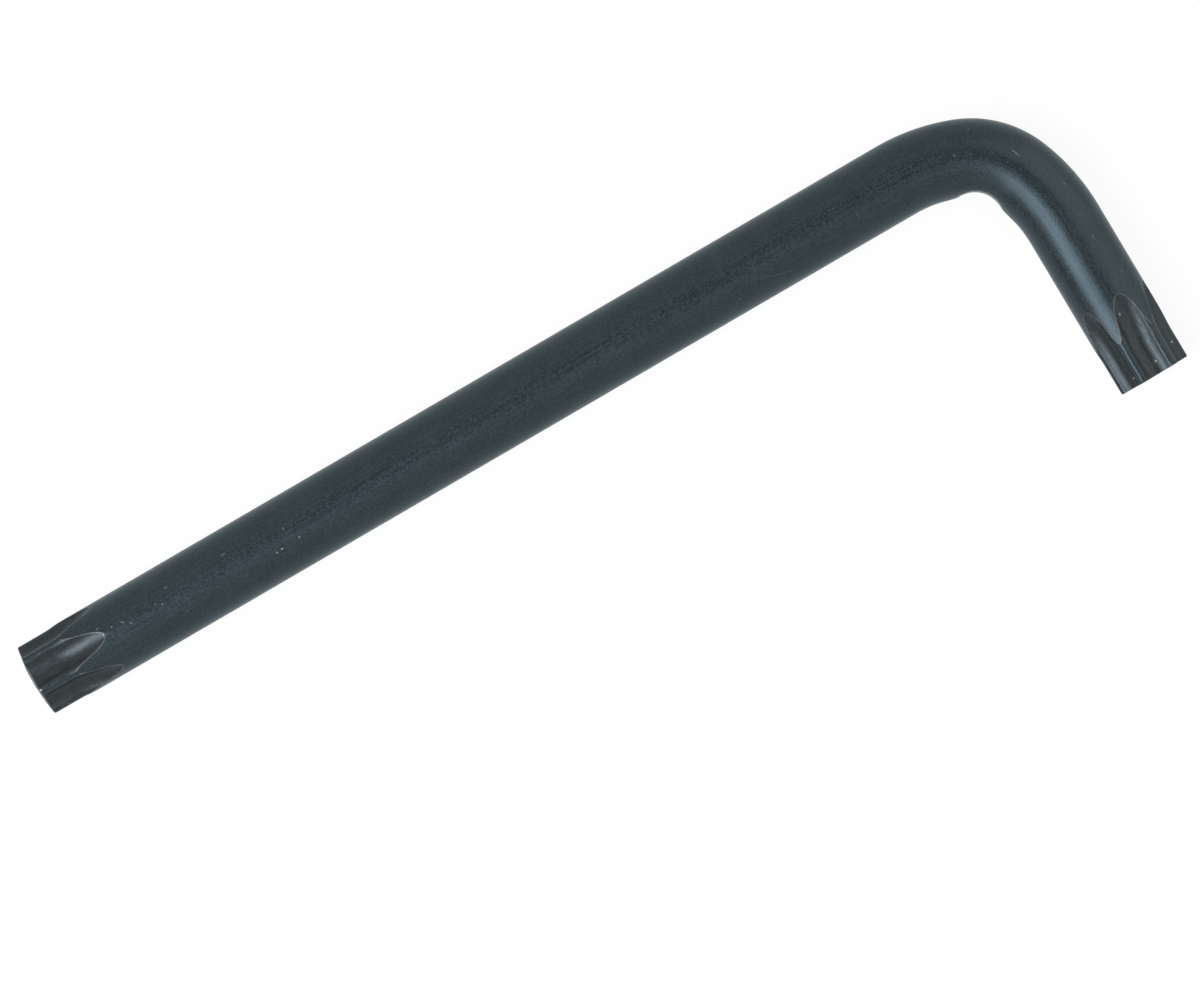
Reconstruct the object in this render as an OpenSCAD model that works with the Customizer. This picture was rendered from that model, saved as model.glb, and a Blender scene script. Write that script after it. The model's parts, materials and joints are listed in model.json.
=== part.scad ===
// Star key: a round bar bent into an L, with a fluted six-point star at each end.
// The key lies flat on z = 0. The long arm runs along +X to the bend and the short arm heads to -Y.

/* [Bar] */
// Diameter of the round bar
bar_d = 9; // [8.9:0.05:11]
// Length of the long arm, from its end face to the corner where the two centre lines cross
long_reach = 128.9; // [70:0.1:220]
// Length of the short arm, from its end face to the same corner
short_reach = 34.5; // [28:0.1:90]

/* [Bend] */
// Angle that the bar turns through
bend_turn = 89.4; // [80:0.1:100]
// Radius of the bend along the centre line of the bar
bend_r = 11.6; // [9:0.1:15]
// Radius of the bending former's nose, which marks the inside of the bend
former_r = 3.35; // [2.4:0.05:4]
// Depth of the former's mark below the round of the bar
former_mark = 0.5; // [0.2:0.01:0.8]

/* [Star] */
// Diameter across the points of the star
star_point_d = 8.85; // [8.4:0.01:8.88]
// Diameter across the roots of the star, at the bottoms of opposite flutes
star_root_d = 6.35; // [5.8:0.01:6.9]
// Radius of each flute's round bottom
flute_r = 2.1; // [1.8:0.01:2.4]
// Radius of each rounded point
lobe_r = 0.72; // [0.66:0.01:0.9]
// Width of the small bevel that breaks the edge of each end face
end_break = 0.15; // [0.05:0.01:0.4]

/* [Run-outs] */
// Slope at which the run-outs leave the bar
ramp_turn = 14.5; // [10:0.5:25]

/* [Long tip] */
// Length of flute at full depth
long_flute = 4.45; // [3:0.05:10]
// Roll of the star about the arm: the angle from straight up to the nearest point
long_roll = 19.5; // [-30:0.5:30]

/* [Short tip] */
// Length of flute at full depth
short_flute = 5; // [3:0.05:6]
// Roll of the star about the arm: the angle from straight up to the nearest point
short_roll = -23.5; // [-30:0.5:30]

/* [Hidden] */
// Flutes around each tip
flute_count = 6;
// Plain bar that each tip keeps beyond its flutes
collar_l = 6.5;
// Length over which the rounded points flare out to the bar
flare_l = 2.3;
// Slope of the flare
flare_turn = 15;
// Overrun of each cut past the surface that it opens
overrun = 0.5;
// Facets of a full circle
$fn = 96;

bar_r = bar_d / 2;
point_r = star_point_d / 2;
root_r = star_root_d / 2;
// Distance from the bar's axis to a flute's own axis
flute_pitch_r = root_r + flute_r;
flute_step = 360 / flute_count;
// Distance from the bar's axis to the axis of a point's round
lobe_pitch_r = point_r - lobe_r;
// Distance between the axes of a point and of the flute beside it
lobe_to_flute = norm([
    flute_pitch_r - lobe_pitch_r * cos(flute_step / 2),
    lobe_pitch_r * sin(flute_step / 2)
]);
// Share of that distance at which the point's round gives way to the flute
blend_share = (lobe_r + lobe_to_flute - flute_r) / 2 / lobe_to_flute;
// Radius of the core under the rounded points, which stays hidden below that change
core_r = norm([
    lobe_pitch_r * cos(flute_step / 2) * (1 - blend_share) + flute_pitch_r * blend_share,
    lobe_pitch_r * sin(flute_step / 2) * (1 - blend_share)
]);

// Length of a run-out, along the bar
runout_l = (bar_r - root_r) / tan(ramp_turn);

// Lengths of the fluted stretches
long_tip_l = long_flute + runout_l + collar_l;
short_tip_l = short_flute + runout_l + collar_l;

// Length that the bend takes from each arm, measured to the corner
bend_reach = bend_r * tan(bend_turn / 2);

// Corner of the centre lines, set so that the origin is under the middle of the key's outline
outer_x = bar_r * sin(bend_turn) + short_reach * max(cos(bend_turn), 0);
lower_y = short_reach * sin(bend_turn) + point_r * abs(cos(bend_turn));
corner = [(long_reach - outer_x) / 2, (lower_y - bar_r) / 2, bar_r];

// Centre of the bend, and the distance from it to the former's nose
bend_centre = corner - [bend_reach, bend_r, 0];
nose_out = bend_r - bar_r + former_mark - former_r;

// Puts its children on the long arm: local z = 0 is the end face and +Z runs towards the bend
module on_long_arm() {
    translate(corner - [long_reach, 0, 0])
        rotate([0, 90, 0])
            children();
}

// Puts its children on the short arm in the same way
module on_short_arm() {
    translate(corner + short_reach * [cos(bend_turn), -sin(bend_turn), 0])
        rotate([0, 0, 180 - bend_turn])
            rotate([0, 90, 0])
                children();
}

// One flute as a cutter: straight at full depth, then sloping outwards until it clears the bar
module flute(full_l) {
    translate([flute_pitch_r, 0, -overrun])
        cylinder(h = full_l + overrun, r = flute_r);
    translate([flute_pitch_r, 0, full_l])
        multmatrix([
            [1, 0, tan(ramp_turn), 0],
            [0, 1, 0, 0],
            [0, 0, 1, 0]
        ])
            cylinder(h = runout_l + overrun, r = flute_r);
}

// One rounded point: a round that flares out until the bar swallows it
module lobe(full_l) {
    flare_end = flare_l + overrun;
    translate([lobe_pitch_r, 0, 0])
        rotate_extrude()
            polygon([
                [0, -2 * overrun],
                [lobe_r, -2 * overrun],
                [lobe_r, full_l],
                [lobe_r + flare_end * tan(flare_turn), full_l + flare_end],
                [0, full_l + flare_end]
            ]);
}

// A tip: the bar relieved around its rounded points, with the flutes cut between them
module star_tip(full_l, roll) {
    whole_l = full_l + runout_l + collar_l;
    difference() {
        rotate_extrude()
            polygon([
                [0, 0],
                [point_r - end_break, 0],
                [bar_r, bar_r - point_r + end_break],
                [bar_r, whole_l],
                [0, whole_l]
            ]);
        difference() {
            rotate_extrude()
                translate([core_r, -overrun])
                    square([bar_r + overrun - core_r, full_l + flare_l + overrun]);
            for (i = [0 : flute_count - 1])
                rotate([0, 0, roll + i * flute_step])
                    lobe(full_l);
        }
        for (i = [0 : flute_count - 1])
            rotate([0, 0, roll + (i + 0.5) * flute_step])
                flute(full_l);
    }
}

module long_tip() {
    color("#30383c")
        on_long_arm()
            star_tip(long_flute, long_roll);
}

module long_arm() {
    color("#343d42")
        on_long_arm()
            translate([0, 0, long_tip_l])
                cylinder(h = long_reach - bend_reach - long_tip_l, r = bar_r);
}

// The bend: the bar turned about the bend's centre, dented by the former's nose at mid-bend
module elbow() {
    color("#3a444a")
        translate(bend_centre)
            rotate([0, 0, 90 - bend_turn])
                difference() {
                    rotate_extrude(angle = bend_turn)
                        translate([bend_r, 0])
                            circle(r = bar_r);
                    rotate([0, 0, bend_turn / 2])
                        translate([nose_out, 0, -bar_r - overrun])
                            cylinder(h = bar_d + 2 * overrun, r = former_r);
                }
}

module short_arm() {
    color("#3a444a")
        on_short_arm()
            translate([0, 0, short_tip_l])
                cylinder(h = short_reach - bend_reach - short_tip_l, r = bar_r);
}

module short_tip() {
    color("#30383c")
        on_short_arm()
            star_tip(short_flute, short_roll);
}

long_tip();
long_arm();
elbow();
short_arm();
short_tip();
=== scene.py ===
"""Looks of the star key: a round bar bent into an L, with a fluted star at each end, in matt black oxide.

Each stretch of bar in the frame gets one finished mesh, in the frame's own axes: the long arm runs along +X
to the bend, the short arm heads to -Y, and +Z is up out of the plane of the two arms. Lengths are in metres.
"""

import cmath
import json
import logging
import math
from dataclasses import dataclass, field
from enum import Enum
from functools import cache, cached_property
from typing import Any

import bpy
import numpy as np
from bpy.types import ID, Material, Mesh, Node, Object, World
from bpy.types import NodeSocket as Socket
from bpy.types import NodeTree as Tree
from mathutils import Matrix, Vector


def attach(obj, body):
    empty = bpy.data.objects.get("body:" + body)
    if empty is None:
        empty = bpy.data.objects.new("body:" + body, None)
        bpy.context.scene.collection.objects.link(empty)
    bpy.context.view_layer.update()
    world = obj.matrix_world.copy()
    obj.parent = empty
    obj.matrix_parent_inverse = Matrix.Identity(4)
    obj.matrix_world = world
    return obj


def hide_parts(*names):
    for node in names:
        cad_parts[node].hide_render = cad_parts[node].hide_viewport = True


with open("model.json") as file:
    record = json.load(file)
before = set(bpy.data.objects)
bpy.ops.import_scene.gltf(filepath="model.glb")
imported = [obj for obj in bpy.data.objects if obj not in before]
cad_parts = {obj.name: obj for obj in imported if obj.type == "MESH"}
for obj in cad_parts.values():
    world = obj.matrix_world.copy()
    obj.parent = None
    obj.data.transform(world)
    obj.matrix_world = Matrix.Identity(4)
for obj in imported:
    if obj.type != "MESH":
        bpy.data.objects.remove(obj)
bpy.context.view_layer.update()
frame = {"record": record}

LOG = logging.getLogger("star_key")

MM = 0.001
# Middle of a noise node's values
NOISE_MEAN = 0.5
# Share of a speck's or mark's reach that keeps its full strength
CORE_SHARE = 0.4
WHITE = (1.0, 1.0, 1.0, 1.0)

Pair = tuple[float, float]
Triple = tuple[float, float, float]
Colour = tuple[float, float, float, float]


class Slot(Enum):
    """The record's material slots."""

    BAR = "oxide_bar"
    STAR = "oxide_star"


class Mark(Enum):
    """Attributes that the meshes carry for their finishes."""

    UNBENT = "unbent_place"
    STAR = "star_marks"


def mount(name: str) -> dict[str, Any]:
    """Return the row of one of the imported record's mounts."""
    return next(row for row in frame["record"]["mounts"] if row["name"] == name)


BAR_R = mount("long_shank")["dims"]["r_mm"] * MM


# Node trees


class Wiring:
    """Adds nodes to one tree and links them up."""

    def __init__(self, tree: Tree) -> None:
        """Take the tree to wire."""
        self.tree = tree

    def add(self, kind: str, feeds: dict[int | str, Any] | None = None, **settings: Any) -> Node:
        """Add a node, set it and feed its inputs.

        Args:
            kind: The node's type.
            feeds: For each input, by name or place, a socket to link it to or a plain value.
            settings: Properties of the node itself.

        Returns:
            The new node.
        """
        node = self.tree.nodes.new(kind)
        for name, value in settings.items():
            setattr(node, name, value)
        for key, value in (feeds or {}).items():
            if isinstance(value, Socket):
                self.tree.links.new(value, node.inputs[key])
            else:
                node.inputs[key].default_value = value
        return node

    def made(self, kind: str, feeds: dict[int | str, Any] | None = None, **settings: Any) -> Socket:
        """Add a node in the same way and return its first output."""
        return self.add(kind, feeds, **settings).outputs[0]

    def math(self, operation: str, *values: Any) -> Socket:
        """Return the result of a Math node on sockets or numbers."""
        return self.made("ShaderNodeMath", dict(enumerate(values)), operation=operation)

    def vector(self, operation: str, *values: Any, result: str = "Vector") -> Socket:
        """Return the named output of a Vector Math node on sockets or vectors."""
        return self.add("ShaderNodeVectorMath", dict(enumerate(values)), operation=operation).outputs[result]

    def scaled(self, vector: Socket, factor: Any) -> Socket:
        """Return a vector times a number."""
        return self.made("ShaderNodeVectorMath", {0: vector, "Scale": factor}, operation="SCALE")

    def total(self, values: tuple[Socket, ...], shares: tuple[float, ...]) -> Socket:
        """Add up values, each times its share.

        Args:
            values: The values.
            shares: What each is multiplied by.

        Returns:
            The sum.
        """
        result: Any = 0.0
        for value, share in zip(values, shares):
            result = self.math("MULTIPLY_ADD", value, share, result)
        return result

    def ramp(self, value: Any, low: Any, high: Any, to_low: float = 0.0, to_high: float = 1.0) -> Socket:
        """Return a value eased from low and high to the two results, and clamped at both ends."""
        feeds = {"Value": value, "From Min": low, "From Max": high, "To Min": to_low, "To Max": to_high}
        return self.add("ShaderNodeMapRange", feeds, interpolation_type="SMOOTHSTEP").outputs["Result"]

    def blend(self, factor: Any, below: Any, above: Any) -> Socket:
        """Return two colours mixed, with the factor as the share of the second."""
        # The node's inputs 6 and 7 and its output 2 are the ones for colours
        return self.add("ShaderNodeMix", {0: factor, 6: below, 7: above}, data_type="RGBA").outputs[2]

    def noise(self, place: Socket, size: Any, detail: int) -> Socket:
        """Return soft noise from 0 to 1 with features of a size and octaves of finer noise on top."""
        feeds = {"Vector": self.scaled(place, self.math("DIVIDE", 1.0, size)), "Scale": 1.0, "Detail": detail}
        return self.made("ShaderNodeTexNoise", feeds)

    def group(self, tree: Tree, feeds: dict[str, Any]) -> Any:
        """Return the outputs of a node group of this tree's own kind, placed in it and fed."""
        return self.add(self.tree.bl_idname.replace("Tree", "Group"), feeds, node_tree=tree).outputs


class GroupWiring(Wiring):
    """Wires a node group, whose named inputs and outputs it makes first."""

    def __init__(self, name: str, kind: str, takes: dict[str, Any], *gives: str) -> None:
        """Start the group.

        Args:
            name: The group's name.
            kind: First word of the type of tree.
            takes: Name of each input, with its kind of socket, or a number as its kind and default.
            gives: Name of each output, which is a number or the geometry.
        """
        super().__init__(bpy.data.node_groups.new(name, kind + "NodeTree"))
        new_socket = self.tree.interface.new_socket
        for label, what in takes.items():
            shown = {int: "Int", float: "Float"}.get(type(what), what)
            socket = new_socket(label, in_out="INPUT", socket_type="NodeSocket" + shown)
            if shown != what:
                socket.default_value = what
        shown = {"Shader": "Float"}.get(kind, kind)
        for label in gives:
            new_socket(label, in_out="OUTPUT", socket_type="NodeSocket" + shown)
        self.take = self.add("NodeGroupInput").outputs

    def give(self, **results: Socket) -> Tree:
        """Return the finished group, with its outputs linked to the results."""
        self.add("NodeGroupOutput", results)
        return self.tree


def blank(block: Material | World) -> Wiring:
    """Clear the nodes of a material or world.

    Args:
        block: The material or world.

    Returns:
        The wiring of its empty tree.
    """
    block.use_nodes = True
    block.node_tree.nodes.clear()
    return Wiring(block.node_tree)


def put(name: str, data: ID) -> Object:
    """Add an object to the scene.

    Args:
        name: Its name.
        data: Its mesh, lamp or camera.

    Returns:
        The object.
    """
    item = bpy.data.objects.new(name, data)
    bpy.context.scene.collection.objects.link(item)
    return item


# The line of the bar


@dataclass(frozen=True)
class Leg:
    """One straight or arc of the bar's centre line. An arc turns to the right of its heading.

    Points in the plane of the key are complex numbers, x + yj.

    Attributes:
        begin: Its first point.
        heading: Direction there, as an angle from +X.
        along: Distance along the bar to that point.
        length: Its own length.
        radius: Radius of the arc, or zero for a straight.
    """

    begin: complex
    heading: float
    along: float
    length: float
    radius: float = 0.0

    @property
    def centre(self) -> complex:
        """Return the centre of the arc."""
        return self.begin - 1j * self.radius * cmath.exp(1j * self.heading)

    def at(self, distance: float) -> tuple[complex, float]:
        """Walk along the leg.

        Args:
            distance: How far from its first point.

        Returns:
            The point there, and the heading there.
        """
        if not self.radius:
            return self.begin + distance * cmath.exp(1j * self.heading), self.heading
        heading = self.heading - distance / self.radius
        return self.centre + 1j * self.radius * cmath.exp(1j * heading), heading

    def locate(self, points: np.ndarray) -> tuple[np.ndarray, np.ndarray]:
        """Find points beside the leg.

        Args:
            points: The points.

        Returns:
            How far along the leg each point lies, and how far to the outer side of the bend.
        """
        if not self.radius:
            apart = (points - self.begin) * cmath.exp(-1j * self.heading)
            return apart.real, apart.imag
        apart = (points - self.centre) * cmath.exp(-1j * (self.heading + math.pi / 2))
        return -np.angle(apart) * self.radius, np.abs(apart) - self.radius


@dataclass(frozen=True)
class BarLine:
    """The bar's centre line: a straight, an easy arc, a tight arc, an easy arc and a straight.

    Attributes:
        start: Middle of the long arm's end face.
        long_reach: Length from there to the corner where the two arms' lines cross.
        short_reach: Length from the corner to the short arm's end face.
        turn: Angle that the bar turns through.
        tight_r: Radius of the middle of the bend.
        easy_r: Radius of the two ends of the bend.
        easy_turn: Angle of each of those ends.
    """

    start: Vector
    long_reach: float
    short_reach: float
    turn: float
    tight_r: float = 9.2 * MM
    easy_r: float = 20.8 * MM
    easy_turn: float = math.radians(21.6)

    @classmethod
    def from_frame(cls) -> "BarLine":
        """Take the two arms from the mounts at their ends.

        Returns:
            The centre line.
        """
        long_end, short_end = mount("long_star_drive"), mount("short_star_drive")
        heading = -Vector(long_end["axis"])
        leaving = Vector(short_end["axis"])
        start = Vector(long_end["pos_m"])
        across = Vector(short_end["pos_m"]) - start
        ways = np.column_stack((heading[:2], leaving[:2]))
        long_reach, short_reach = np.linalg.solve(ways, np.array(across[:2]))
        return cls(start, float(long_reach), float(short_reach), heading.angle(leaving))

    @property
    def bend_reach(self) -> float:
        """Work out how much of the arms the bend takes.

        Returns:
            The length from each arm, up to the corner.
        """
        gain = self.easy_r - self.tight_r
        drop = self.easy_r - gain * math.cos(self.easy_turn)
        return gain * math.sin(self.easy_turn) + drop * math.tan(self.turn / 2)

    @property
    def corner(self) -> Vector:
        """Return the corner where the two arms' lines cross."""
        return self.start + Vector((self.long_reach, 0, 0))

    @cached_property
    def legs(self) -> list[Leg]:
        """Lay out the straights and arcs.

        Returns:
            The legs, in order from the long arm's end.
        """
        tight_turn = self.turn - 2 * self.easy_turn
        shapes = (
            (self.long_reach - self.bend_reach, 0.0),
            (self.easy_r * self.easy_turn, self.easy_r),
            (self.tight_r * tight_turn, self.tight_r),
            (self.easy_r * self.easy_turn, self.easy_r),
            (self.short_reach - self.bend_reach, 0.0),
        )
        legs, begin, heading, along = [], complex(*self.start[:2]), 0.0, 0.0
        for length, radius in shapes:
            legs.append(Leg(begin, heading, along, length, radius))
            begin, heading = legs[-1].at(length)
            along += length
        return legs

    @property
    def length(self) -> float:
        """Return the length of the bar along its centre line."""
        return self.legs[-1].along + self.legs[-1].length

    def walk(self, begin: float, end: float, step: float) -> list[Triple]:
        """Step along the line.

        Args:
            begin: Distance along the bar to the first point.
            end: Distance to the last point.
            step: The most between two points.

        Returns:
            The points, evenly spaced.
        """
        points = []
        for along in np.linspace(begin, end, math.ceil((end - begin) / step) + 1):
            leg = [each for each in self.legs if each.along <= along or each is self.legs[0]][-1]
            point, _ = leg.at(float(along) - leg.along)
            points.append((point.real, point.imag, self.start.z))
        return points

    def unbend(self, places: np.ndarray) -> np.ndarray:
        """Find where points would lie if the bar were straight.

        Args:
            places: Points on the bar, one a row.

        Returns:
            For each point, how far it lies to the outer side of the bend, above the line and along it.
        """
        straight = np.empty_like(places)
        straight[:, 1] = places[:, 2] - self.start.z
        for leg in self.legs:
            along, outward = leg.locate(places[:, 0] + 1j * places[:, 1])
            here = (along >= 0) | (leg is self.legs[0])
            here &= np.abs(outward) < self.tight_r
            straight[here, 0], straight[here, 2] = outward[here], along[here] + leg.along
        return straight


# Finishes


@dataclass(frozen=True)
class Blemish:
    """One mark on the bar: a speck of dust, a nick or a scratch.

    Attributes:
        along: Distance in mm from the long arm's end, or back from the short arm's end if negative.
        around: Angle from straight up towards the outer side of the bend, in degrees.
        length: Its length in mm.
        width: Its width in mm.
        lean: Angle from the line of the bar, in degrees.
        strength: How pale it is, from 0 to 1.
    """

    along: float
    around: float
    length: float
    width: float
    lean: float
    strength: float


# Each row gives along, around, length, width, lean and strength
BLEMISHES = tuple(Blemish(*row) for row in (
    (0.12, -17.0, 0.5, 0.34, 0, 1.0),
    (9.27, 20.0, 0.5, 0.2, 35, 0.3),
    (9.62, 8.0, 0.7, 0.22, 60, 0.3),
    (10.85, 11.8, 0.34, 0.2, -35, 0.5),
    (12.2, 9.8, 0.8, 0.16, -41, 0.45),
    (13.02, 2.2, 0.36, 0.2, -41, 0.5),
    (16.5, 8.0, 0.26, 0.34, 0, 0.28),
    (17.2, 3.2, 0.28, 0.28, 0, 0.3),
    (18.5, 22.4, 0.7, 0.22, 14, 0.24),
    (26.1, 21.8, 0.8, 0.2, -6, 0.26),
    (31.6, -16.4, 0.36, 0.28, 10, 0.4),
    (32.3, -15.3, 0.42, 0.26, 5, 0.6),
    (33.6, 9.8, 0.24, 0.4, 0, 0.28),
    (34.7, -13.0, 0.36, 0.3, -20, 0.45),
    (84.9, 57.0, 0.2, 0.17, 0, 0.3),
    (87.8, -2.8, 0.7, 0.12, -30, 0.16),
    (92.28, -39.7, 0.2, 0.2, 0, 0.4),
    (97.2, -33.7, 5.8, 0.11, -17.7, 0.12),
    (121.9, 3.5, 0.22, 0.22, 0, 0.45),
    (123.6, 43.7, 0.24, 0.2, 0, 0.3),
    (128.3, 20.6, 1.4, 0.15, -15, 0.36),
    (134.2, 33.9, 0.26, 0.22, 0, 0.35),
    (140.7, 24.1, 1.1, 0.11, 5, 0.22),
    (-1.44, 13.6, 0.36, 0.36, 0, 0.7),
    (-1.0, -46.5, 0.36, 1.0, 0, 0.6),
    (-2.33, 83.0, 0.3, 0.47, 0, 0.4),
    (-6.29, 52.6, 0.26, 0.22, 0, 0.45),
    (-8.19, -1.2, 0.42, 0.32, 0, 0.5),
    (-12.35, 37.0, 0.36, 0.26, 0, 0.14),
))


@cache
def blemish_group(bar_length: float) -> Tree:
    """Build the group for the marks that lie at known places.

    Args:
        bar_length: Length of the bar along its centre line.

    Returns:
        The group, which puts out their mask.
    """
    wire = GroupWiring("placed_marks", "Shader", {"Place": "Vector"}, "Mark")
    apart = wire.add("ShaderNodeSeparateXYZ", {0: wire.take["Place"]}).outputs
    around = wire.math("MULTIPLY", wire.math("ARCTAN2", apart[0], apart[1]), BAR_R)
    flat = wire.made("ShaderNodeCombineXYZ", {0: around, 1: apart[2]})
    palest: Any = 0.0
    for each in BLEMISHES:
        along = each.along * MM + (bar_length if each.along < 0 else 0.0)
        away = wire.vector("SUBTRACT", flat, (math.radians(each.around) * BAR_R, along, 0.0))
        feeds = {"Vector": away, "Angle": math.radians(each.lean)}
        turned = wire.made("ShaderNodeVectorRotate", feeds, rotation_type="Z_AXIS")
        shares = wire.vector("DIVIDE", turned, (each.width / 2 * MM, each.length / 2 * MM, 1.0))
        reach = wire.vector("LENGTH", shares, result="Value")
        palest = wire.math("MAXIMUM", wire.ramp(reach, CORE_SHARE, 1.0, each.strength, 0.0), palest)
    return wire.give(Mark=palest)


@cache
def grain_group() -> Tree:
    """Build the group for the oxide's powdery grain, its soft blotches and the lines of the drawn bar.

    Returns:
        The group, which puts out a noise for each.
    """
    takes = {
        "Place": "Vector",
        "Grain Size": 0.24 * MM,
        "Blotch Size": 2.4 * MM,
        "Line Width": 0.22 * MM,
        "Line Stretch": 45.0,
    }
    wire = GroupWiring("oxide_grain", "Shader", takes, "Grain", "Blotch", "Line")
    take = wire.take
    squeeze = {0: 1.0, 1: 1.0, 2: wire.math("DIVIDE", 1.0, take["Line Stretch"])}
    squeezed = wire.vector("MULTIPLY", take["Place"], wire.made("ShaderNodeCombineXYZ", squeeze))
    return wire.give(
        Grain=wire.noise(take["Place"], take["Grain Size"], detail=3),
        Blotch=wire.noise(take["Place"], take["Blotch Size"], detail=4),
        Line=wire.noise(squeezed, take["Line Width"], detail=2),
    )


@cache
def speck_group() -> Tree:
    """Build the group for pale specks of dust and bare metal.

    Returns:
        The group, which puts out their mask.
    """
    takes = {"Place": "Vector", "Spacing": 1.6 * MM, "Size": 0.11 * MM, "Least Share": 0.4, "Chance": 0.22}
    wire = GroupWiring("pale_specks", "Shader", takes, "Speck")
    take = wire.take
    scale = wire.math("DIVIDE", 1.0, take["Spacing"])
    cell = wire.add("ShaderNodeTexVoronoi", {"Vector": take["Place"], "Scale": scale}).outputs
    draw = wire.add("ShaderNodeSeparateColor", {0: cell["Color"]}).outputs
    share = wire.math("ADD", draw[1], take["Least Share"])
    reach = wire.math("MULTIPLY", wire.math("MULTIPLY", take["Size"], scale), share)
    spot = wire.ramp(cell["Distance"], wire.math("MULTIPLY", reach, CORE_SHARE), reach, 1.0, 0.0)
    kept = wire.math("LESS_THAN", draw[2], take["Chance"])
    return wire.give(Speck=wire.math("MULTIPLY", spot, kept))


@cache
def wear_and_highlight_group() -> Tree:
    """Build the group for rubbed pale edges and for painted highlight lines on the points' flanks, in broken
    lines.

    Returns:
        The group, which puts out their mask.
    """
    takes = {
        "Place": "Vector",
        "Edge": 0.0,
        "Patch Size": 0.7 * MM,
        "Patch Depth": 0.9,
        "Reach": 0.5,
        "Fade": 0.5,
    }
    wire = GroupWiring("worn_edges", "Shader", takes, "Worn")
    take = wire.take
    patch = wire.math("SUBTRACT", wire.noise(take["Place"], take["Patch Size"], detail=4), NOISE_MEAN)
    level = wire.math("MULTIPLY_ADD", patch, take["Patch Depth"], take["Edge"])
    low = wire.math("SUBTRACT", 1.0, take["Reach"])
    return wire.give(Worn=wire.ramp(level, low, wire.math("ADD", low, take["Fade"])))


@dataclass(frozen=True)
class OxideFinish:
    """Matt black oxide on steel.

    Attributes:
        slot: The record's slot for it.
        bar_length: Length of the bar along its centre line.
        deep: Colour where the oxide is thickest.
        thin: Colour where it is thinnest.
        bare: Colour of rubbed metal and of dust.
        tone_shares: Shares of grain, blotches and lines in the colour.
        tone_range: Sums of them at which the colour is all deep and all thin.
        gloss_shares: Shares of grain and lines in the roughness.
        gloss_range: Sums of them at which the surface is smoothest and roughest.
        gloss: Roughness there.
        metal: Metallic share of the black surface.
        clear: Level of its colourless reflections.
        sheen: Tint of its reflections.
        speck_chance: Share of the speck cells that hold one.
        speck_strength: How pale a speck is, from 0 to 1.
        bump_shares: Shares of grain and lines in the bump.
        bump_height: Height of the grain's bump.
    """

    slot: Slot
    bar_length: float
    deep: Colour = (0.0114, 0.0182, 0.0204, 1.0)
    thin: Colour = (0.0210, 0.0317, 0.0353, 1.0)
    bare: Colour = (0.30, 0.33, 0.34, 1.0)
    tone_shares: Triple = (0.68, 0.17, 0.15)
    tone_range: Pair = (0.35, 0.65)
    gloss_shares: Pair = (0.55, 0.45)
    gloss_range: Pair = (0.3, 0.7)
    gloss: Pair = (0.30, 0.46)
    metal: float = 0.38
    clear: float = 0.44
    sheen: Colour = (0.74, 0.92, 1.0, 1.0)
    speck_chance: float = 0.10
    speck_strength: float = 0.3
    bump_shares: Pair = (1.0, 0.4)
    bump_height: float = 0.016 * MM

    def surface(self, wire: Wiring, place: Socket) -> dict[str, Any]:
        """Wire what the whole bar shares.

        Args:
            wire: The material's wiring.
            place: Where on the straightened bar the surface is.

        Returns:
            The base colour, roughness, rubbed share, bump height and metallic share.
        """
        fine, blotch, line = wire.group(grain_group(), {"Place": place})
        speck = wire.group(speck_group(), {"Place": place, "Chance": self.speck_chance})["Speck"]
        placed = wire.group(blemish_group(self.bar_length), {"Place": place})["Mark"]
        tone = wire.ramp(wire.total((fine, blotch, line), self.tone_shares), *self.tone_range)
        rough = wire.total((fine, line), self.gloss_shares)
        return {
            "colour": wire.blend(tone, self.deep, self.thin),
            "rough": wire.ramp(rough, *self.gloss_range, *self.gloss),
            "rubbed": wire.math("MAXIMUM", wire.math("MULTIPLY", speck, self.speck_strength), placed),
            "height": wire.total((fine, line), self.bump_shares),
            "metal": self.metal,
        }

    def finish_edges(self, wire: Wiring, place: Socket, looks: dict[str, Any]) -> None:
        """Leave the plain bar as it is: it has no edges."""

    def material(self) -> Material:
        """Build the slot's material.

        Returns:
            The material.
        """
        material = bpy.data.materials.new(self.slot.value)
        wire = blank(material)
        place = wire.add("ShaderNodeAttribute", attribute_name=Mark.UNBENT.value).outputs["Vector"]
        looks = self.surface(wire, place)
        self.finish_edges(wire, place, looks)
        bump = wire.made("ShaderNodeBump", {"Height": looks["height"], "Distance": self.bump_height})
        feeds = {
            "Base Color": wire.blend(looks["rubbed"], looks["colour"], self.bare),
            "Roughness": looks["rough"],
            "Metallic": looks["metal"],
            "Specular IOR Level": self.clear,
            "Specular Tint": self.sheen,
            "Normal": bump,
        }
        wire.add("ShaderNodeOutputMaterial", {"Surface": wire.made("ShaderNodeBsdfPrincipled", feeds)})
        return material


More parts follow.
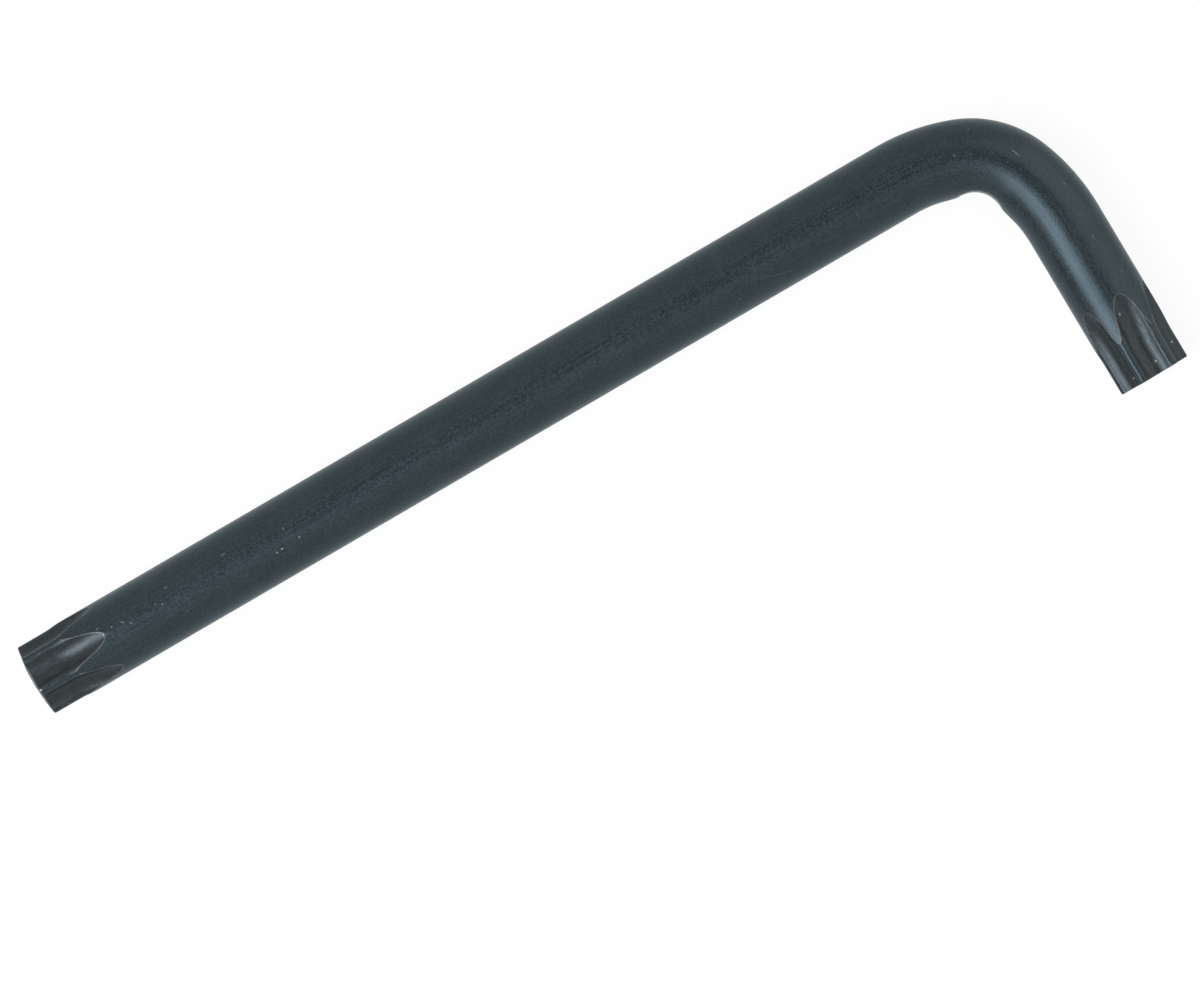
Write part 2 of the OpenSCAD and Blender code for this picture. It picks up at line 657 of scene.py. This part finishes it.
@dataclass(frozen=True)
class StarFinish(OxideFinish):
    """The same oxide on a star tip, with cut flutes, a sawn end, rubbed edges and a painted highlight line on
    each flank of a point.

    Attributes:
        flute: Colour inside the flutes.
        mottle: Colour of their paler patches.
        cut: Colour of the end face.
        edge: Colour of the rubbed edges, and of the painted highlight lines on the points' flanks.
        cover: Share of the shared colour that the flutes and the end face hide.
        patch_size: Width of the paler patches.
        patch_squeeze: Squeeze of their noise, which draws them out along the bar.
        patch_range: Noise at which a patch begins and is full.
        flute_metal: Metallic share inside the flutes.
    """

    flute: Colour = (0.0225, 0.0265, 0.0268, 1.0)
    mottle: Colour = (0.0345, 0.0395, 0.0392, 1.0)
    cut: Colour = (0.020, 0.024, 0.026, 1.0)
    edge: Colour = (0.090, 0.089, 0.087, 1.0)
    cover: float = 0.8
    patch_size: float = 0.3 * MM
    patch_squeeze: Triple = (1.0, 1.0, 0.3)
    patch_range: Pair = (0.34, 0.68)
    flute_metal: float = 0.62

    def finish_edges(self, wire: Wiring, place: Socket, looks: dict[str, Any]) -> None:
        """Darken the flutes and the end face, rub the edges pale and paint a highlight line along each flank
        of the points.

        Args:
            wire: The material's wiring.
            place: Where on the straightened bar the surface is.
            looks: The shared looks, which are changed.
        """
        marks = wire.add("ShaderNodeAttribute", attribute_name=Mark.STAR.value).outputs["Vector"]
        edge, flute, end = wire.add("ShaderNodeSeparateXYZ", {0: marks}).outputs
        patch = wire.noise(wire.vector("MULTIPLY", place, self.patch_squeeze), self.patch_size, detail=3)
        inside = wire.blend(wire.ramp(patch, *self.patch_range), self.flute, self.mottle)
        for where, paint in ((flute, inside), (end, self.cut)):
            looks["colour"] = wire.blend(wire.math("MULTIPLY", where, self.cover), looks["colour"], paint)
        # The rubbed edges and the painted highlight lines on the points' flanks share this mask and the edge
        # colour
        wear_and_highlight = wire.group(wear_and_highlight_group(), {"Place": place, "Edge": edge})["Worn"]
        looks["colour"] = wire.blend(wear_and_highlight, looks["colour"], self.edge)
        looks["metal"] = wire.ramp(flute, 0.0, 1.0, self.metal, self.flute_metal)


# Shapes


@cache
def waver_group() -> Tree:
    """Build the group that gives a drawn bar its slightly uneven skin.

    Returns:
        The geometry group.
    """
    takes = {"Geometry": "Geometry", "Depth": 0.012 * MM, "Wave Length": 5.0 * MM}
    wire = GroupWiring("uneven_skin", "Geometry", takes, "Geometry")
    take = wire.take
    place = wire.made("GeometryNodeInputPosition")
    swell = wire.math("SUBTRACT", wire.noise(place, take["Wave Length"], detail=1), NOISE_MEAN)
    normal = wire.made("GeometryNodeInputNormal")
    offset = wire.scaled(normal, wire.math("MULTIPLY", swell, take["Depth"]))
    moved = wire.made("GeometryNodeSetPosition", {"Geometry": take["Geometry"], "Offset": offset})
    return wire.give(Geometry=moved)


def dress(wire: GroupWiring, shape: Socket) -> Tree:
    """End a stretch's tree with an uneven skin and its finish.

    Args:
        wire: The tree's wiring, which takes the finish.
        shape: The stretch so far.

    Returns:
        The finished tree.
    """
    uneven = wire.group(waver_group(), {"Geometry": shape})[0]
    whole = wire.made("GeometryNodeRealizeInstances", {"Geometry": uneven})
    feeds = {"Geometry": whole, "Material": wire.take["Finish"]}
    return wire.give(Geometry=wire.made("GeometryNodeSetMaterial", feeds))


@cache
def sweep_tree() -> Tree:
    """Build the tree that sweeps the bar along a path and presses the former's nose into it.

    Returns:
        The geometry tree.
    """
    takes = {
        "Path": "Geometry",
        "Bar Radius": BAR_R,
        "Sides": 192,
        "Nose Centre": "Vector",
        "Nose Radius": 3.35 * MM,
        "Nose Ease": 0.3 * MM,
        "Lip Height": 0.08 * MM,
        "Lip Width": 0.7 * MM,
        "Finish": "Material",
    }
    wire = GroupWiring("swept_bar", "Geometry", takes, "Geometry")
    take = wire.take
    path = wire.made("GeometryNodeMeshToCurve", {"Mesh": take["Path"]})
    path = wire.made("GeometryNodeSetCurveNormal", {"Curve": path}, mode="Z_UP")
    feeds = {"Resolution": take["Sides"], "Radius": take["Bar Radius"]}
    ring = wire.made("GeometryNodeCurvePrimitiveCircle", feeds)
    bar = wire.made("GeometryNodeCurveToMesh", {"Curve": path, "Profile Curve": ring, "Fill Caps": True})
    level = wire.vector("SUBTRACT", wire.made("GeometryNodeInputPosition"), take["Nose Centre"])
    level = wire.vector("MULTIPLY", level, (1.0, 1.0, 0.0))
    away = wire.vector("LENGTH", level, result="Value")
    outward = wire.vector("NORMALIZE", level)
    eased = wire.math("SMOOTH_MAX", away, take["Nose Radius"], take["Nose Ease"])
    from_lip = wire.math("SUBTRACT", away, wire.math("ADD", take["Nose Radius"], take["Lip Width"]))
    share = wire.math("DIVIDE", from_lip, take["Lip Width"])
    hump = wire.math("EXPONENT", wire.math("MULTIPLY", wire.math("MULTIPLY", share, share), -1.0))
    normal = wire.made("GeometryNodeInputNormal")
    facing = wire.math("MULTIPLY", wire.vector("DOT_PRODUCT", normal, outward, result="Value"), -1.0)
    lip = wire.math("MULTIPLY", wire.math("MULTIPLY", hump, take["Lip Height"]), wire.ramp(facing, 0.0, 1.0))
    shift = wire.scaled(outward, wire.math("SUBTRACT", wire.math("SUBTRACT", eased, away), lip))
    return dress(wire, wire.made("GeometryNodeSetPosition", {"Geometry": bar, "Offset": shift}))


@cache
def star_tree() -> Tree:
    """Build the tree that sets one flute's sector round the axis and puts the star on its arm.

    Returns:
        The geometry tree.
    """
    takes = {
        "Sector": "Geometry",
        "Flutes": StarTip.FLUTES,
        "Roll": 0.0,
        "Weld Distance": 0.0005 * MM,
        "Place": "Vector",
        "Turn": "Vector",
        "Finish": "Material",
    }
    wire = GroupWiring("star_ring", "Geometry", takes, "Geometry")
    take = wire.take
    spots = wire.made("GeometryNodePoints", {"Count": take["Flutes"]})
    step = wire.math("DIVIDE", 2 * math.pi, take["Flutes"])
    # The roll is a point's, and each flute's middle lies half a step from a point
    number = wire.math("ADD", wire.made("GeometryNodeInputIndex"), 0.5)
    spin = wire.made("ShaderNodeCombineXYZ", {2: wire.math("MULTIPLY_ADD", number, step, take["Roll"])})
    feeds = {"Points": spots, "Instance": take["Sector"], "Rotation": spin}
    ring = wire.made("GeometryNodeInstanceOnPoints", feeds)
    whole = wire.made("GeometryNodeRealizeInstances", {"Geometry": ring})
    feeds = {"Geometry": whole, "Distance": take["Weld Distance"]}
    welded = wire.made("GeometryNodeMergeByDistance", feeds)
    feeds = {"Geometry": welded, "Translation": take["Place"], "Rotation": take["Turn"]}
    return dress(wire, wire.made("GeometryNodeTransform", feeds))


@dataclass
class Stretch:
    """One stretch of the bar, which stands for one of the frame's nodes.

    Attributes:
        name: The finished piece's name.
        node: The node that it stands for.
        line: The bar's centre line.
        sharp: Edges that turn by more than this angle stay crisp.
    """

    name: str
    node: str
    line: BarLine
    sharp: float = math.radians(38)

    def make(self, mesh: Mesh, tree: Tree, sizes: dict[str, Any], slot: Slot) -> None:
        """Grow the finished piece as a plain mesh, note where it lies on the bar and tie it to the frame.

        Args:
            mesh: The mesh that the tree starts from.
            tree: The geometry tree.
            sizes: A value for each of the tree's named inputs.
            slot: The record's slot for its finish; not used.
        """
        piece = put(self.name, mesh)
        modifier = piece.modifiers.new(tree.name, "NODES")
        modifier.node_group = tree
        for item in tree.interface.items_tree:
            if item.in_out == "INPUT" and item.name in sizes:
                modifier[item.identifier] = sizes[item.name]
        graph = bpy.context.evaluated_depsgraph_get()
        done = piece.evaluated_get(graph)
        mesh = bpy.data.meshes.new_from_object(done, preserve_all_data_layers=True, depsgraph=graph)
        piece.modifiers.remove(modifier)
        piece.data = mesh
        mesh.shade_smooth()
        mesh.set_sharp_from_angle(angle=self.sharp)
        places = np.empty(len(mesh.vertices) * 3, np.float32)
        mesh.vertices.foreach_get("co", places)
        straight = self.line.unbend(places.reshape(-1, 3).astype(float))
        store = mesh.attributes.new(Mark.UNBENT.value, "FLOAT_VECTOR", "POINT")
        store.data.foreach_set("vector", straight.ravel())
        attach(piece, "root")
        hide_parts(self.node)
        LOG.info("%s stands for %s: %d faces", self.name, self.node, len(mesh.polygons))


@dataclass
class SweptStretch(Stretch):
    """Plain bar along its centre line: an arm, or the bend with the mark of the former's nose.

    Attributes:
        start: Distance along the bar to its first end.
        stop: Distance to its other end.
        step: Spacing of the rings along it.
        nose_in: How far in from the corner, along each arm, the former's nose is centred.
    """

    start: float = 0.0
    stop: float = 0.0
    step: float = 0.4 * MM
    nose_in: Pair = (8.54 * MM, 8.66 * MM)

    def build(self, finish: Material) -> None:
        """Sweep the bar.

        Args:
            finish: The bar's material.
        """
        points = self.line.walk(self.start, self.stop, self.step)
        mesh = bpy.data.meshes.new(self.name)
        mesh.from_pydata(points, [(i, i + 1) for i in range(len(points) - 1)], [])
        nose = self.line.corner - Vector((*self.nose_in, 0))
        self.make(mesh, sweep_tree(), {"Nose Centre": nose, "Finish": finish}, Slot.BAR)


@dataclass
class StarTip(Stretch):
    """A fluted end: a star of six rounded points whose flutes slope out of the bar.

    Attributes:
        full_l: Length from the end face to where the line of a run-out would meet the flute's bottom.
        roll: Roll of the star about its arm.
        drift: Turn about the arm by which the run-outs lean before they die out.
        place: Middle of the end face.
        turn: Turn from the tip's own axes, in which +Z runs into the bar, to the frame's.
        bar_r: Radius of the bar.
        point_r: Radius across the points.
        root_r: Radius across the bottoms of the flutes.
        flute_r: Radius of each flute's round bottom.
        slope: Rise of a run-out for each unit along the bar.
        ease_l: Half the length of the turn into a run-out.
        collar_l: Plain bar beyond the run-outs.
        end_round: Radius of the end face's edge.
        edge_r: Size of the rubbed round on the run-outs' rims.
        flank_highlight_l: Distance from the middle of a point to the painted highlight line on each of its
            flanks.
        dome: How far the middle of the end face stands out.
        cut_steps: Columns from a flute's middle to its rim.
        edge_steps: Columns round the rim.
        land_steps: Columns from the rim to the middle of a point.
    """

    full_l: float = 0.0
    roll: float = 0.0
    drift: float = 0.0
    place: Vector = field(default_factory=Vector)
    turn: Vector = field(default_factory=Vector)
    bar_r: float = BAR_R
    point_r: float = 4.425 * MM
    root_r: float = 3.175 * MM
    flute_r: float = 2.1 * MM
    slope: float = math.tan(math.radians(14.5))
    ease_l: float = 0.64 * MM
    collar_l: float = 6.5 * MM
    end_round: float = 0.24 * MM
    edge_r: float = 0.05 * MM
    flank_highlight_l: float = 0.39 * MM
    dome: float = 0.0
    cut_steps: int = 30
    edge_steps: int = 4
    land_steps: int = 9
    FLUTES = 6
    # Largest shares of the cut and of the land that a rim's round may take
    CUT_SHARE, LAND_SHARE = 0.45, 0.3
    # In sizes of that round: its strip of columns, the land that wears fully, the rubbed rim and the painted
    # highlight line on each flank
    STRIP, FULL_LAND, RIM_SPREAD, FLANK_SPREAD = 3, 4, 2.2, 2
    # Strength of the painted highlight line on each flank, and wear of the rim where the run-outs die out
    FLANK_WORN, APEX_WORN = 0.7, 0.8
    # Rows round the end's edge, along the full flutes, up the run-outs and along the collar
    END_ROWS, FULL_ROWS, RUNOUT_ROWS, COLLAR_ROWS = 6, 8, 56, 10
    # Wear of the first rows at the end, and radii of the end face's rings as shares of its rim
    END_WORN = (0.35, 0.6, 0.6, 0.45)
    FACE_RINGS = (0.97, 0.88, 0.75, 0.6, 0.4, 0.2, 0.0)
    # Halvings of the search for a rim
    HALVINGS = 50

    @property
    def half_step(self) -> float:
        """Return the angle from the middle of a flute to the middle of a point."""
        return math.pi / self.FLUTES

    @property
    def flute_x(self) -> float:
        """Return the distance from the bar's axis to a flute's own axis."""
        return self.root_r + self.flute_r

    @property
    def apex(self) -> float:
        """Return the height above the end face at which the run-outs die out."""
        return self.full_l + (self.bar_r - self.root_r) / self.slope

    @property
    def length(self) -> float:
        """Return the length of the whole tip."""
        return self.apex + self.collar_l

    @cached_property
    def lobe_r(self) -> float:
        """Work out the radius of a rounded point that runs smoothly into the flutes on both sides.

        Returns:
            The radius.
        """
        reach = self.flute_x * math.cos(self.half_step)
        gap = self.flute_r**2 - self.flute_x**2 - self.point_r**2 + 2 * reach * self.point_r
        return gap / 2 / (reach - self.point_r - self.flute_r)

    @cached_property
    def lobe_at(self) -> Pair:
        """Return the middle of a rounded point, beside the flute."""
        pitch = self.point_r - self.lobe_r
        return pitch * math.cos(self.half_step), pitch * math.sin(self.half_step)

    @cached_property
    def flute_turn(self) -> float:
        """Return the angle round a flute's own axis from its bottom to the rounded point."""
        return math.atan2(self.lobe_at[1], self.flute_x - self.lobe_at[0])

    @property
    def cut_l(self) -> float:
        """Return the length of the cut's section, from the middle of a flute to the middle of a point."""
        return self.flute_r * self.flute_turn + self.lobe_r * (self.flute_turn + self.half_step)

    def lift(self, z: float) -> float:
        """Find how far a flute has risen out of the bar.

        Args:
            z: Height above the end face.

        Returns:
            The rise.
        """
        past = z - self.full_l
        eased = min(max(past + self.ease_l, 0), 2 * self.ease_l)
        return self.slope * (eased**2 / 4 / self.ease_l + max(past - self.ease_l, 0))

    def outer_r(self, z: float) -> float:
        """Find the radius that bounds the star.

        Args:
            z: Height above the end face.

        Returns:
            The radius.
        """
        if z >= self.end_round:
            return self.bar_r
        return self.point_r - self.end_round + math.sqrt(self.end_round**2 - (self.end_round - z) ** 2)

    def cut(self, along: np.ndarray, z: float) -> np.ndarray:
        """Find points on a flute and on the rounded point beside it.

        Args:
            along: Distances along the section from the flute's middle.
            z: Height above the end face.

        Returns:
            The points, one a row.
        """
        low = np.minimum(along / self.flute_r, self.flute_turn)
        high = (along - self.flute_r * self.flute_turn) / self.lobe_r - self.flute_turn
        on_flute = along < self.flute_r * self.flute_turn
        lobe_x, lobe_y = self.lobe_at
        x = np.where(on_flute, self.flute_x - self.flute_r * np.cos(low), lobe_x + self.lobe_r * np.cos(high))
        y = np.where(on_flute, self.flute_r * np.sin(low), lobe_y + self.lobe_r * np.sin(high))
        return np.column_stack((x + self.lift(z), y, np.full(len(along), z)))

    def rim(self, z: float) -> float:
        """Find where the cut meets the outside of the bar or the middle of the point.

        Args:
            z: Height above the end face.

        Returns:
            The distance along the section from the flute's middle.
        """
        low, high = 0.0, self.cut_l
        for _ in range(self.HALVINGS):
            middle = (low + high) / 2
            x, y, _ = self.cut(np.array([middle]), z)[0]
            inside = math.hypot(x, y) < self.outer_r(z) and math.atan2(y, x) < self.half_step
            low, high = (middle, high) if inside else (low, middle)
        return low

    def section(self, z: float) -> tuple[np.ndarray, np.ndarray]:
        """Draw half a sector's section, from the middle of a flute to the middle of a point.

        Args:
            z: Height above the end face.

        Returns:
            Its points, and for each of them how rubbed it is, with the painted highlight lines on the flanks
            added in, and how deep in the flute it is.
        """
        rim = self.rim(z)
        corner = self.cut(np.array([rim]), z)[0]
        outer, corner_at = math.hypot(corner[0], corner[1]), math.atan2(corner[1], corner[0])
        land_l = max(self.half_step - corner_at, 0) * outer
        edge = min(self.edge_r, self.CUT_SHARE * rim, self.LAND_SHARE * land_l)
        strip = self.STRIP * edge
        cut_at = np.append(np.linspace(0, max(rim - strip, 0), self.cut_steps), rim - edge)
        cut = self.cut(cut_at, z)
        land_at = np.append(edge, np.linspace(min(strip, land_l), land_l, self.land_steps))
        turn = land_at / outer + corner_at
        land = np.column_stack((outer * np.cos(turn), outer * np.sin(turn), np.full(len(turn), z)))
        share = np.linspace(0, 1, self.edge_steps + 1)[1:-1, None]
        bridge = cut[-1] * (1 - share) ** 2 + corner * 2 * share * (1 - share) + land[0] * share**2
        from_edge = np.concatenate((rim - cut_at, np.zeros(len(bridge)), land_at))
        rubbed = min(land_l / (self.FULL_LAND * self.edge_r), 1.0) if z > self.end_round else 0.0
        wear_and_highlight = rubbed * np.exp(-((from_edge / (self.RIM_SPREAD * self.edge_r)) ** 2))
        # The pale line at a set distance down each flank of a point is a painted highlight, merged into the
        # rubbed rims' mask
        from_flank = self.cut_l - cut_at - self.flank_highlight_l
        flank_highlight = self.FLANK_WORN * np.exp(-((from_flank / (self.FLANK_SPREAD * self.edge_r)) ** 2))
        wear_and_highlight[:len(cut_at)] = np.maximum(wear_and_highlight[:len(cut_at)], flank_highlight)
        low = np.clip((self.cut_l - cut_at) / (self.cut_l - self.flute_r * self.flute_turn), 0, 1)
        deep = np.concatenate((low, low[-1] * (1 - share[:, 0]), np.zeros(len(land))))
        points = np.vstack((cut, bridge, land))
        return points, np.column_stack((wear_and_highlight, deep, np.zeros(len(points))))

    def rows(self) -> tuple[list[np.ndarray], list[np.ndarray]]:
        """Draw the half sections, from the end face to the arm.

        Returns:
            Their points and their marks, row by row.
        """
        start = self.full_l - self.ease_l
        rounds = np.linspace(0, math.pi / 2, self.END_ROWS + 1)
        heights = [self.end_round * (1 - math.cos(turn)) for turn in rounds]
        heights += list(np.linspace(2 * self.end_round, start, self.FULL_ROWS))
        shares = np.arange(self.RUNOUT_ROWS - 1, 0, -1) / self.RUNOUT_ROWS
        heights += list(self.apex - (self.apex - start) * shares**2)
        points, marks = map(list, zip(*(self.section(float(z)) for z in heights)))
        land_at = np.append(0, np.linspace(0, self.half_step, self.land_steps))
        closed = np.tile((self.bar_r, 0.0, self.apex), (len(points[0]), 1))
        closed[-len(land_at):, 0] = self.bar_r * np.cos(land_at)
        closed[-len(land_at):, 1] = self.bar_r * np.sin(land_at)
        faded = np.zeros_like(marks[0])
        faded[:-len(land_at) + 1, 0] = self.APEX_WORN
        points.append(closed)
        marks.append(faded)
        for z in np.linspace(self.apex, self.length, self.COLLAR_ROWS)[1:]:
            ring = closed.copy()
            ring[:, 2] = z
            points.append(ring)
            marks.append(np.zeros_like(faded))
        return points, marks

    def leaning(self, row: np.ndarray) -> np.ndarray:
        """Turn a row about the arm by as much as the run-outs lean at its height.

        Args:
            row: The row's points.

        Returns:
            The turned points.
        """
        start = self.full_l - self.ease_l
        by = self.drift * min(max((row[0, 2] - start) / (self.apex - start), 0), 1)
        turned = (row[:, 0] + 1j * row[:, 1]) * cmath.exp(1j * by)
        return np.column_stack((turned.real, turned.imag, row[:, 2]))

    def sector(self) -> Mesh:
        """Model one flute with half a point on each side, closed at the end face and at the arm.

        Returns:
            The sector's mesh, in the tip's own axes.
        """
        points, marks = self.rows()
        for row, share in zip(marks, self.END_WORN):
            row[:, 0] = np.maximum(row[:, 0], share)
        rim = points[0]
        for share in self.FACE_RINGS:
            swell = np.array([0, 0, self.dome * (1 - share**2)])
            points.insert(0, rim * np.array([share, share, 1.0]) - swell)
            marks.insert(0, np.tile((0.0, 0.0, 1.0), (len(rim), 1)))
        points.append(points[-1] * np.array([0.0, 0.0, 1.0]))
        marks.append(np.zeros_like(marks[-1]))
        mirrored = np.array([1.0, -1.0, 1.0])
        whole = [self.leaning(np.vstack((row[:0:-1] * mirrored, row))) for row in points]
        wear_and_highlight = [np.vstack((row[:0:-1], row)) for row in marks]
        wide = len(whole[0])
        faces = [
            (r * wide + c, r * wide + c + 1, (r + 1) * wide + c + 1, (r + 1) * wide + c)
            for r in range(len(whole) - 1)
            for c in range(wide - 1)
        ]
        mesh = bpy.data.meshes.new(self.name)
        mesh.from_pydata(np.vstack(whole).tolist(), [], faces)
        store = mesh.attributes.new(Mark.STAR.value, "FLOAT_VECTOR", "POINT")
        store.data.foreach_set("vector", np.vstack(wear_and_highlight).astype(np.float32).ravel())
        return mesh

    def build(self, finish: Material) -> None:
        """Set the sectors round the axis and put the star on its arm."""
        sizes = {"Roll": self.roll, "Place": self.place, "Turn": self.turn, "Finish": finish}
        self.make(self.sector(), star_tree(), sizes, Slot.STAR)


# Studio


@dataclass(frozen=True)
class SoftBox:
    """A soft square lamp that faces the key.

    Attributes:
        name: The lamp's name.
        towards: Direction from the key to the lamp.
        distance: How far away it hangs.
        size: Width of its face.
        power: Its power in watts.
        colour: Its colour.
    """

    name: str
    towards: Triple
    distance: float
    size: float
    power: float
    colour: Triple

    def hang(self) -> None:
        """Put the lamp in the scene."""
        data = bpy.data.lights.new(self.name, "AREA")
        data.shape, data.size, data.energy, data.color = "SQUARE", self.size, self.power, self.colour
        lamp = put(self.name, data)
        lamp.location = Vector(self.towards).normalized() * self.distance
        lamp.rotation_euler = lamp.location.to_track_quat("Z", "Y").to_euler()
        lamp.visible_camera = False


@dataclass(frozen=True)
class Studio:
    """A white floor, soft lamps, two dark cards for the key to reflect and a camera straight above it.

    Attributes:
        boxes: The lamps.
        daylight: Strength of the even light from all round.
        floor_colour: Colour of the floor.
        floor_lift: Share of the floor's white that no shadow reaches.
        floor_size: Width of the floor.
        floor_drop: How far it lies below the key.
        flag_colour: Colour of the dark cards.
        flag_size: Width of the dark card above the camera.
        flag_at: Middle of that card.
        flag_gap: How far above the camera it hangs.
        side_size: Width of the dark card that stands beside the long arm's end.
        side_at: Middle of that card.
        px_per_mm: Scale of the picture.
        picture_w: Width of the picture in pixels.
        climb: Angle at which the long arm climbs across the picture.
        aim: Point in the plane of the key at the middle of the picture.
        lens_mm: Length of the lens.
    """

    boxes: tuple[SoftBox, ...]
    daylight: float = 0.55
    floor_colour: Colour = (0.9, 0.9, 0.9, 1.0)
    floor_lift: float = 0.92
    floor_size: float = 6.0
    floor_drop: float = 0.01 * MM
    flag_colour: Colour = (0.02, 0.02, 0.02, 1.0)
    flag_size: float = 0.9
    flag_at: Pair = (0.03, 0.18)
    flag_gap: float = 0.05
    side_size: float = 1.2
    side_at: Triple = (-1.3, 0.0, -0.05)
    px_per_mm: float = 8.667
    picture_w: int = 1200
    climb: float = math.radians(30.2)
    aim: Pair = (-0.17 * MM, 0.31 * MM)
    lens_mm: float = 300.0

    @staticmethod
    def seen_rays(wire: Wiring) -> Socket:
        """Return 1 for rays that show the background.

        Args:
            wire: The wiring of a material or of the world.

        Returns:
            1 for rays from the camera, from gloss and through glass, and 0 for others.
        """
        path = wire.add("ShaderNodeLightPath").outputs
        seen = wire.math("MAXIMUM", path["Is Camera Ray"], path["Is Glossy Ray"])
        return wire.math("MAXIMUM", seen, path["Is Transmission Ray"])

    @staticmethod
    def card(name: str, size: float, height: float, material: Material) -> Object:
        """Lay a flat square card in the scene.

        Args:
            name: Its name.
            size: Its width.
            height: Its height above the surface that the key lies on.
            material: Its material.

        Returns:
            The card.
        """
        half = size / 2
        mesh = bpy.data.meshes.new(name)
        corners = [(-half, -half, height), (half, -half, height), (half, half, height), (-half, half, height)]
        mesh.from_pydata(corners, [], [(0, 1, 2, 3)])
        mesh.materials.append(material)
        card = put(name, mesh)
        return card

    def floor_paper(self) -> Material:
        """Build the white paper of the floor, which shows a faint shadow.

        Returns:
            The material.
        """
        material = bpy.data.materials.new("floor_paper")
        wire = blank(material)
        paper = wire.made("ShaderNodeBsdfDiffuse", {"Color": self.floor_colour})
        white = wire.made("ShaderNodeEmission", {"Strength": 1.0})
        share = wire.math("MULTIPLY", self.seen_rays(wire), self.floor_lift)
        mixed = wire.made("ShaderNodeMixShader", {0: share, 1: paper, 2: white})
        wire.add("ShaderNodeOutputMaterial", {"Surface": mixed})
        return material

    def flag_cloth(self) -> Material:
        """Build the cloth of the dark cards.

        Returns:
            The material.
        """
        material = bpy.data.materials.new("flag_cloth")
        wire = blank(material)
        cloth = wire.made("ShaderNodeBsdfPrincipled", {"Base Color": self.flag_colour})
        wire.add("ShaderNodeOutputMaterial", {"Surface": cloth})
        return material

    def light(self) -> None:
        """Hang the lamps and set the even light from all round, which the camera sees as white."""
        for box in self.boxes:
            box.hang()
        world = bpy.data.worlds.new("white_room")
        wire = blank(world)
        even = wire.made("ShaderNodeBackground", {"Color": WHITE, "Strength": self.daylight})
        white = wire.made("ShaderNodeBackground", {"Color": WHITE, "Strength": 1.0})
        mixed = wire.made("ShaderNodeMixShader", {0: self.seen_rays(wire), 1: even, 2: white})
        wire.add("ShaderNodeOutputWorld", {"Surface": mixed})
        bpy.context.scene.world = world

    def shoot(self, key_height: float) -> None:
        """Set the camera straight above the key, and the dark cards above it and beside the long arm's end.

        Args:
            key_height: Height of the bar's middle above the floor.
        """
        data = bpy.data.cameras.new("overhead")
        data.lens, data.dof.use_dof = self.lens_mm, False
        width = self.picture_w / self.px_per_mm * MM
        camera = put("overhead", data)
        camera.location = (*self.aim, key_height + width * self.lens_mm / data.sensor_width)
        camera.rotation_euler = (0, 0, -self.climb)
        bpy.context.scene.camera = camera
        flag = self.card("dark_flag", self.flag_size, camera.location.z + self.flag_gap, self.flag_cloth())
        flag.location = (*self.flag_at, 0.0)
        side = self.card("side_flag", self.side_size, 0.0, self.flag_cloth())
        side.location, side.rotation_euler = self.side_at, (0, math.pi / 2, 0)
        flag.visible_camera = side.visible_camera = False

    def set_up(self, key_height: float) -> None:
        """Set up the floor, the lights and the camera.

        Args:
            key_height: Height of the bar's middle above the floor.
        """
        self.card("floor", self.floor_size, -self.floor_drop, self.floor_paper())
        self.light()
        self.shoot(key_height)
        bpy.context.scene.view_settings.view_transform = "Standard"


def main() -> None:
    """Build the five stretches of the key and set up the studio."""
    logging.basicConfig(level=logging.INFO, format="%(name)s: %(message)s")
    line = BarLine.from_frame()
    bar = OxideFinish(Slot.BAR, line.length).material()
    star = StarFinish(Slot.STAR, line.length).material()
    long_tip = StarTip(
        "fluted_long_tip", "long_tip", line,
        full_l=4.73 * MM,
        roll=math.radians(20.5),
        drift=math.radians(2.6),
        slope=0.2655,
        ease_l=1.3 * MM,
        dome=0.4 * MM,
        place=line.start,
        turn=Vector((0, math.pi / 2, 0)),
    )
    short_tip = StarTip(
        "fluted_short_tip", "short_tip", line,
        full_l=6.89 * MM,
        roll=math.radians(-24.5),
        drift=math.radians(5.0),
        slope=0.3885,
        ease_l=3.41 * MM,
        place=Vector(mount("short_star_drive")["pos_m"]),
        turn=Vector((0, math.pi / 2, math.pi - line.turn)),
    )
    overlap = 0.6 * MM
    bend_from = line.legs[1].along - overlap
    bend_to = line.legs[-1].along + overlap
    bar_end = line.length - short_tip.length
    stretches = (
        SweptStretch("drawn_long_arm", "long_arm", line, start=long_tip.length, stop=bend_from),
        SweptStretch("pressed_bend", "elbow", line, start=bend_from, stop=bend_to, step=0.12 * MM),
        SweptStretch("drawn_short_arm", "short_arm", line, start=bend_to, stop=bar_end),
    )
    long_tip.build(star)
    for stretch in stretches:
        stretch.build(bar)
    short_tip.build(star)
    boxes = (
        SoftBox(
            "main_box", towards=(-0.588, 0.0, 0.809), distance=1.1, size=0.72,
            power=14.6, colour=(0.895, 0.905, 1.0),
        ),
        SoftBox(
            "side_box", towards=(0.80, 0.0, 0.60), distance=1.2, size=1.5,
            power=6.8, colour=(1.0, 0.98, 0.95),
        ),
    )
    Studio(boxes).set_up(line.start.z)


if __name__ == "__main__":
    main()
